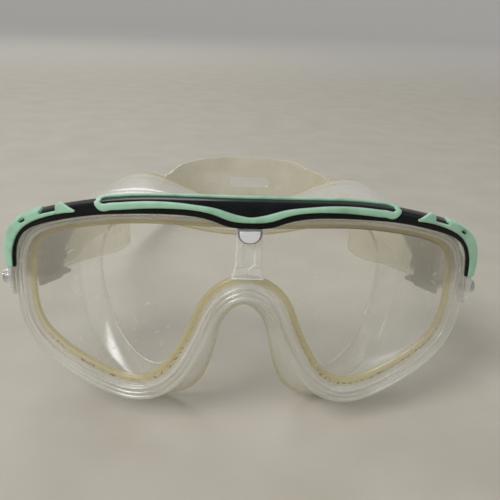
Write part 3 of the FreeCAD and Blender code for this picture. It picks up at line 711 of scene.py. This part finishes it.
def corner_trim_grid(side, along=620, across=120):
    """Corner trim as a rounded section carried from the arrow tip to the bar's end. On the hump
    the section ends at the outline; beyond it, it blends into one that turns over the bar's
    crest. Points inside the open slot or the drain hole sink into the bar."""
    u = np.linspace(0, 1, along)
    out = spline(SIDE_OUT)(u)
    low = spline(SIDE_IN)(u)
    crest, normal = run_frame(bar_top, np.linspace(0.5, 1, 1500))
    grown = crest + normal * TRIM_HEIGHT
    nearest = nearest_along(out, grown)
    wrap = smoothstep(np.clip((out[:, 0] - HUMP_END) / HUMP_BLEND, 0, 1)[:, None])
    out = out * (1 - wrap) + grown[nearest] * wrap
    normal = normal[nearest]
    flat, over = (soft_section(section, TRIM_WIDTH, across, 1) for section in (FACE_SECTION, WRAP_SECTION))
    section = flat[None] * (1 - wrap[..., None]) + over[None] * wrap[..., None]
    level, lift, depth = section[..., 0], section[..., 1], section[..., 2]
    ends = np.minimum(1, np.minimum(u, 1 - u) * 90)[:, None] ** 0.5
    depth = np.where(depth < BAR_FACE, BAR_FACE + (depth - BAR_FACE) * ends, depth)
    plan = low[:, None] + (out - low)[:, None] * level[..., None] + normal[:, None] * lift[..., None]
    sx, sz = leaning(plan[..., 0], plan[..., 1], SLOT_AT, SLOT_LEAN)
    mouth = np.maximum(np.abs(sx + SLOT_SHIFT) - SLOT_HALF, SLOT_FOOT - sz)
    slot = np.minimum(mouth, np.hypot(sx - SLOT_END, sz) - CUT_RADIUS)
    hx, hz = leaning(plan[..., 0], plan[..., 1], HOLE_AT, HOLE_LEAN)
    hole = np.hypot(np.maximum(np.abs(hx) - HOLE_HALF, 0), hz) - CUT_RADIUS
    sunk = smoothstep(np.clip(0.5 - np.minimum(slot, hole) / CUT_SLOPE, 0, 1))
    depth = depth + np.maximum(CUT_FLOOR - depth, 0) * sunk
    inwards = np.maximum(lift + 1.5, 0) * np.clip((level - 0.45) / 0.3, 0, 1) * sunk
    plan = plan - normal[:, None] * inwards[..., None]
    return on_wrap(plan[..., 0], plan[..., 1], depth) * [side, 1, 1]


for side, word in ((-1, "left"), (1, "right")):
    trim = grid_piece("corner_trim_" + word, corner_trim_grid(side), mint, cap_u=True)
    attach(trim, "mask")
    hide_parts("side_trim_" + word)


# ---------------------------------------------------------------- bridge post, clip and disc
# Clear post moulded between the two lobes, with a U groove ending in a V notch and a step
# near its flared foot. A dark clip holds the bar to it under a satin silver half disc.
POST_FRONT = 2.6
POST_LOW, POST_HIGH = 59.2, 75.9
POST_HALF = [(59.2, 5.2), (60.4, 4.85), (62.0, 4.5), (64.2, 4.2), (75.9, 4.1)]  # height, half width
GROOVE_LOW, GROOVE_HIGH, GROOVE_HALF, GROOVE_DEPTH = 62.0, 71.2, 1.9, 1.2
FOOT_STEP, FOOT_DEPTH = 63.4, 0.4


def clear_plastic(name, low, high, tint, light):
    """Clear moulded polycarbonate: almost invisible face on, bright and milky at its edges."""
    m, where = new_material(name)
    cover, base, rough = milky_body(
        m, where, {"Scale": 160.0, "Detail": 3.0, "Distortion": 0.8}, 0.4,
        [(0.0, low), (0.35, (low + high) / 2), (0.8, high)], 0.08,
        [(0.3, tint), (0.7, light)], [(0.3, 0.06), (0.7, 0.14)])
    shader = add_node(m, "BsdfPrincipled", {"IOR": 1.58, "Roughness": 0.3, "Specular IOR Level": 0.1},
                      {"Base Color": base, "Alpha": cover})
    return finish_material(m, glazed(m, shader, rough, 0.06, 0.75))


def post_grid(columns=130, rows=190):
    """Post as a height field over (x, z): flat front with rounded long edges, less a U groove
    whose lower end narrows to a V, and a shallow step across the foot."""
    z = POST_LOW + (POST_HIGH - POST_LOW) * np.linspace(0, 1, rows)
    half = np.interp(z, *np.transpose(POST_HALF))
    u = np.sin(np.linspace(-np.pi / 2, np.pi / 2, columns))
    x = half[:, None] * u
    zz = np.repeat(z[:, None], columns, 1)
    edge = np.sqrt(np.clip(1 - np.clip((np.abs(u) - 0.86) / 0.14, 0, 1) ** 2, 0, 1))[None]
    height = 0.6 + (POST_FRONT - 0.62) * edge
    groove_half = GROOVE_HALF * np.clip((zz - GROOVE_LOW) / 2.0, 0, 1)
    inside = np.clip((groove_half - np.abs(x)) / 0.45 + 0.5, 0, 1) * np.clip((GROOVE_HIGH - zz) / 0.3, 0, 1)
    height = height - GROOVE_DEPTH * smoothstep(inside)
    height = height - FOOT_DEPTH * np.clip((FOOT_STEP - zz) / 0.35, 0, 1) * np.clip((zz - POST_LOW) / 0.2, 0, 1)
    return np.concatenate([on_wrap(x, zz, -height), on_wrap(x, zz, -0.02)[:, ::-1]], 1)


clear_finish = clear_plastic("clear_moulded_polycarbonate", 0.08, 0.78, "#DEDED8", "#F2F2EE")
post = grid_piece("bridge_post_clear", post_grid(), clear_finish, cap_u=True)
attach(post, "mask")
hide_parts("bridge_post")


def cap_outline(half_width, top, low):
    """Flat top, short straight sides and a rounded lower edge, evenly resampled."""
    drop = top - low
    side = [(half_width, top), (half_width, top - 0.32 * drop), (0.88 * half_width, top - 0.62 * drop),
            (0.55 * half_width, top - 0.9 * drop), (0, low)]
    run = spline(side + [(-x, z) for x, z in reversed(side[:-1])])(np.linspace(0, 1, 80))
    return soften(run, 96, 2)


def cap_grid(outline, low, high, soft, rings=16):
    """Low cap in rings: the outline rises from depth `low`, turns over a quarter-round
    shoulder and closes to its middle at depth `high` in front of the pane."""
    centre = outline.mean(0)
    theta = np.linspace(0, np.pi / 2, 8)
    inset = soft / np.abs(outline - centre).max()
    closed = 0.002  # scale of the innermost ring
    scale = np.concatenate([[closed, 1], 1 - inset * (1 - np.cos(theta)),
                            np.linspace(1 - inset, closed, rings)[1:]])
    depth = np.concatenate([[low, low], high - soft + soft * np.sin(theta), np.full(rings - 1, high)])
    plan = centre + (outline - centre)[None] * scale[:, None, None]
    return on_wrap(plan[..., 0], plan[..., 1], -depth[:, None])


def satin_acetal(name, deep, light):
    """Moulded acetal: low satin sheen with a faint flow mottle."""
    return solid_material(name, {"Scale": 300.0, "Detail": 4.0}, [(0.3, deep), (0.7, light)],
                          [(0.3, 0.3), (0.7, 0.45)], {"IOR": 1.48}, {"Scale": 300.0, "Detail": 4.0}, 0.1)


clip = grid_piece("bar_clip", cap_grid(cap_outline(3.85, 75.9, 71.3), 2.62, 3.38, 0.3),
                  satin_acetal("grey_satin_acetal", "#74777A", "#8A8D90"), cap_u=True)
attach(clip, "mask")
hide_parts("centre_clip")
# Vacuum-metallised cap: bright, softly blurred, with very fine polishing lines.
silver = solid_material("satin_metallised_cap", {"Scale": 1.0, "Detail": 3.0},
                        [(0.3, "#D8DBDF"), (0.7, "#F2F3F5")], [(0.3, 0.28), (0.7, 0.4)],
                        {"Metallic": 0.35}, stretch=(300, 300, 6000))
disc = grid_piece("silver_cap", cap_grid(cap_outline(3.2, 75.6, 71.8), 3.38, 4.08, 0.35), silver, cap_u=True)
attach(disc, "mask")
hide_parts("clip_disc")


# ---------------------------------------------------------------- strap
# One flat silicone strap with fine cross ribs where the buckles grip it. Each end folds
# round its buckle's bar and leaves as a short tail; the run goes back to the rear band.
STRAP_WIDTH, STRAP_THICK = 16.0, 1.8
RIB_STEP, RIB_DEPTH, RIBBED_LENGTH = 2.4, 0.22, 95
BUCKLE_AT, BUCKLE_TURN, BUCKLE_Z = (-79.8, 30.8), np.radians(54.5), 47.5
BAR_AT, FOLD_RADIUS = (11.0, 3.1), 1.95
TAIL = [(46.0, 62.4), (51.5, 60.2), (58.0, 57.0)]
RUNS = {1: [(69.8, 68, 44.6), (76, 95, 38.5), (80.5, 135, 31), (80, 180, 23.5), (72.5, 222, 18)],
        -1: [(-69.0, 68, 44.6), (-71.5, 95, 38.5), (-70, 135, 31), (-62, 180, 23.5), (-48, 222, 18)]}


def spot(u, w, side):
    """Point of the buckle's own frame on the given side, in the working frame."""
    x = BUCKLE_AT[0] + u * np.cos(BUCKLE_TURN) - w * np.sin(BUCKLE_TURN)
    y = BUCKLE_AT[1] + u * np.sin(BUCKLE_TURN) + w * np.cos(BUCKLE_TURN)
    return (x if side < 0 else -x, y, BUCKLE_Z)


def strap_route(side):
    """Points from the tail's tip in through the buckle, half round its bar, out again and back
    to the rear band."""
    points = [(x * side, y, BUCKLE_Z + 2.0 - 0.5 * i) for i, (x, y) in enumerate(TAIL)]
    angles = np.radians(-90 - 45 * np.arange(5))
    fold = [(BAR_AT[0] + FOLD_RADIUS * np.cos(a), BAR_AT[1] + FOLD_RADIUS * np.sin(a)) for a in angles]
    points += [spot(u, w, side) for u, w in [(25.5, 1.15), (18, 1.15)] + fold + [(18, 5.05), (24.5, 5.05)]]
    return points + RUNS[side]


def strap_grid(side, count=900):
    """Strap as a function of the share along its route and round its section: a flat section
    with rounded edges stands on edge; ribs, a cosine of the length, thin it near the buckle."""
    path = spline(strap_route(side))(np.linspace(0, 1, count))
    length = arc_length(path)
    tangent = np.gradient(path, axis=0)
    normal = unit(np.stack([-tangent[:, 1], tangent[:, 0], np.zeros(count)], 1))
    angle = np.linspace(0, 2 * np.pi, 44, endpoint=False)
    across = superround(np.cos(angle), 0.35)
    through = superround(np.sin(angle), 0.5)
    ribs = 0.5 + 0.5 * np.cos(length / RIB_STEP * 2 * np.pi)
    zone = np.clip((RIBBED_LENGTH - length) / 6, 0, 1)
    field = np.clip((0.86 - np.abs(across)) / 0.06, 0, 1)
    thick = STRAP_THICK / 2 * (1 - RIB_DEPTH * zone[:, None] * (1 - ribs[:, None]) * field[None])
    tip = np.sqrt(np.clip(length / 7.0, 0.02, 1))
    wide = STRAP_WIDTH / 2 * np.minimum(1, 0.55 + 0.45 * tip)[:, None]
    grid = path[:, None] + normal[:, None] * (thick * through)[..., None]
    grid[..., 2] += wide * across
    uv = np.stack(np.broadcast_arrays(length[:, None], STRAP_WIDTH / 2 * across), -1)
    return grid, uv


strap_finish = silicone_material("ribbed_strap_silicone", "#CDC49C", "#DDD8BF", 0.24, 0.72)
for side, word in ((-1, "left"), (1, "right")):
    grid, uv = strap_grid(side)
    band = grid_piece("strap_run_" + word, grid, strap_finish, cap_u=True, uv=uv)
    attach(band, "harness")
    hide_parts("strap_" + word)


# ---------------------------------------------------------------- rear band
# Wide rear part of the strap, split by a long slot so that it spreads over the back of the
# head. It is thicker than the strap and has yellowed more.
REAR_ROUTE = [(-48, 222, 18), (-43, 231.5, 17.4), (-33, 246, 17.6), (-17, 258.6, 18.2), (14, 265.2, 18.3),
              (43, 260, 17.8), (59, 248, 17.2), (72.5, 222, 18)]
REAR_HEIGHT = [16, 26.5, 34.5, 36, 36.4, 35, 27, 16]
REAR_THICK = [1.8, 1.8, 1.8, 2.4, 2.4, 2.4, 1.8, 1.8]
SLOT_ENDS, SLOT_Z, SLOT_RADIUS = (2.0, 25.0), 18.4, 3.5
REAR_EDGE = 0.9


def rear_grid(top_count=170, end_count=26, across=44, fine_count=1500):
    """Band as a ring round its slot: the outline and the slot's edge are two loops in (length,
    height) with the same stations. The section runs between them over the outer skin and back
    over the inner one, rounded at both edges, and is bent along the band's route."""
    route = spline(REAR_ROUTE)
    shares = np.linspace(0, 1, fine_count)
    fine = route(shares)
    length = arc_length(fine[:, :2])
    knots = np.interp(route.shares, shares, length)

    def eased(values, at):
        """Values given at the route's knots, with a smooth step from each to the next."""
        k = np.clip(np.searchsorted(knots, at, side="right") - 1, 0, len(knots) - 2)
        share = smoothstep(np.clip((at - knots[k]) / (knots[k + 1] - knots[k]), 0, 1))
        values = np.asarray(values, float)
        return values[k] + (values[k + 1] - values[k]) * share

    total = length[-1]
    run = np.linspace(total, 0, top_count)
    rise = np.linspace(1, -1, end_count + 2)[1:-1]
    outer_l = np.concatenate([run, np.zeros(end_count), run[::-1], np.full(end_count, total)])
    outer_v = np.concatenate([np.ones(top_count), rise, -np.ones(top_count), -rise])
    low, high = np.interp(SLOT_ENDS, fine[:, 0], length)
    turn = np.linspace(0, np.pi, end_count + 2)[1:-1]
    slot_run = np.linspace(high, low, top_count)
    inner_l = np.concatenate([slot_run, low - SLOT_RADIUS * np.sin(turn), slot_run[::-1],
                              high + SLOT_RADIUS * np.sin(turn)])
    inner_v = np.concatenate([np.ones(top_count), np.cos(turn), -np.ones(top_count), -np.cos(turn)])
    inner_z = SLOT_Z + SLOT_RADIUS * inner_v
    outer_z = np.interp(outer_l, length, fine[:, 2]) + outer_v * eased(REAR_HEIGHT, outer_l) / 2
    mix = (1 - np.cos(np.linspace(0, np.pi, across))) / 2
    mix = np.concatenate([mix, mix[::-1][1:-1]])
    face = np.concatenate([np.ones(across), -np.ones(across - 2)])
    gap = np.hypot(outer_l - inner_l, outer_z - inner_z)[:, None]
    edge = np.minimum(np.minimum(mix, 1 - mix)[None] * gap / REAR_EDGE, 1)
    skin = np.sqrt(1 - (1 - edge) ** 2) * face
    place = inner_l[:, None] + (outer_l - inner_l)[:, None] * mix
    z = inner_z[:, None] + (outer_z - inner_z)[:, None] * mix
    slope = np.gradient(fine, axis=0)
    nx, ny = -np.interp(place, length, slope[:, 1]), np.interp(place, length, slope[:, 0])
    size = np.hypot(nx, ny)
    through = skin * eased(REAR_THICK, place) / 2
    x, y = np.interp(place, length, fine[:, 0]), np.interp(place, length, fine[:, 1])
    return np.stack([x + nx / size * through, y + ny / size * through, z], -1)


rear_finish = silicone_material("rear_band_silicone", "#C6BE9C", "#D8D4BE", 0.30, 0.78)
rear = grid_piece("rear_band_split", rear_grid(), rear_finish, loop_u=True)
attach(rear, "harness")
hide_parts("rear_band")


# ---------------------------------------------------------------- lugs, links, pins, buckles, levers
# Small moulded hardware at each corner: a clear lug on the rim, a bright pin, a clear link
# that swings on it, a smoky clear buckle and a dark release lever.
buckle_finish = clear_plastic("smoky_clear_polycarbonate", 0.36, 0.82, "#54584A", "#6C7060")
lever_finish = satin_acetal("dark_olive_acetal", "#23261F", "#33372D")
# Turned pins: bright, with a fine grain of tool marks.
steel = solid_material("turned_stainless_steel", {"Scale": 2500.0, "Detail": 2.0},
                       [(0.3, "#B9BBBE"), (0.7, "#DADBDD")], [(0.3, 0.18), (0.7, 0.32)], {"Metallic": 1.0})
HARDWARE = {"lug": clear_finish, "link": clear_finish, "hinge_pin": steel, "lever_pin": steel,
            "buckle": buckle_finish, "lever_left": lever_finish, "lever_right": lever_finish}
for name, cad_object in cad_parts.items():
    for start, finish in HARDWARE.items():
        if name.startswith(start):
            for material_slot in cad_object.material_slots:
                material_slot.material = finish


# ---------------------------------------------------------------- floor and light
# Plain pale floor and three large soft lamps: the key from the front left and above.
# The paint of the backdrop is paler than the floor's, since less light reaches it.
def floor_material():
    """Matt paint: the floor's faint mottle passes into the backdrop's paler coat with distance."""
    m, where = new_material("pale_floor")
    away = add_node(m, "VectorMath", None, {0: (where, "Object")}, operation="LENGTH")
    far = add_node(m, "MapRange", {"From Min": 0.7, "From Max": 2.6}, {"Value": (away, "Value")},
                   interpolation_type="SMOOTHSTEP")
    grain = add_node(m, "TexNoise", {"Scale": 30.0, "Detail": 4.0}, {"Vector": (where, "Object")})
    colour = add_node(m, "ValToRGB", None, {"Fac": grain}, [(0.3, "#B2AC9F"), (0.7, "#B9B4A8")])
    paint = add_node(m, "Mix", {"B": "#EDEAE3"}, {"Factor": far, "A": colour}, data_type="RGBA")
    shader = add_node(m, "BsdfPrincipled", {"Roughness": 0.6, "Specular IOR Level": 0.25},
                      {"Base Color": (paint, "Result")})
    return finish_material(m, shader)


def floor_grid(reach=4.6, flat=3.0, bend=1.5, count=93):
    """Floor in metres as a height field: flat within a circle, then rising as a quarter circle
    all round, short of the upright by a trace."""
    x, y = np.meshgrid(*[np.linspace(-reach, reach, count)] * 2, indexing="ij")
    out = np.clip(np.hypot(x, y) - flat, 0, bend * 0.985)
    return np.stack([x, y, bend - np.sqrt(bend ** 2 - out ** 2)], -1)


ground = floor_grid()
floor = mesh_piece("floor", ground.reshape(-1, 3), grid_quads(*ground.shape[:2]).tolist(), floor_material())


def lamp(name, place, target, size, power):
    """Square soft lamp of the given side in metres and power in watts, turned to its target."""
    light = bpy.data.lights.new(name, "AREA")
    light.size = size
    light.energy = power
    lamp_object = bpy.data.objects.new(name, light)
    direction = Vector(target) - Vector(place)
    lamp_object.rotation_euler = direction.to_track_quat("-Z", "Y").to_euler()
    lamp_object.location = place
    bpy.context.scene.collection.objects.link(lamp_object)


lamp("key", (-1.0, -0.95, 1.3), (0, -0.1, 0.03), 0.8, 21.0)
lamp("fill", (1.2, -0.7, 0.9), (0, -0.1, 0.03), 1.0, 3.5)
lamp("back", (-0.4, 1.3, 1.2), (0, -0.05, 0.05), 0.8, 7.0)
world = bpy.data.worlds.new("studio")
world.use_nodes = True
world.node_tree.nodes["Background"].inputs["Color"].default_value = linear("#DDDEE0")
world.node_tree.nodes["Background"].inputs["Strength"].default_value = 0.52
bpy.context.scene.world = world
bpy.context.scene.view_settings.view_transform = "Standard"
bpy.context.scene.cycles.transparent_max_bounces = 32
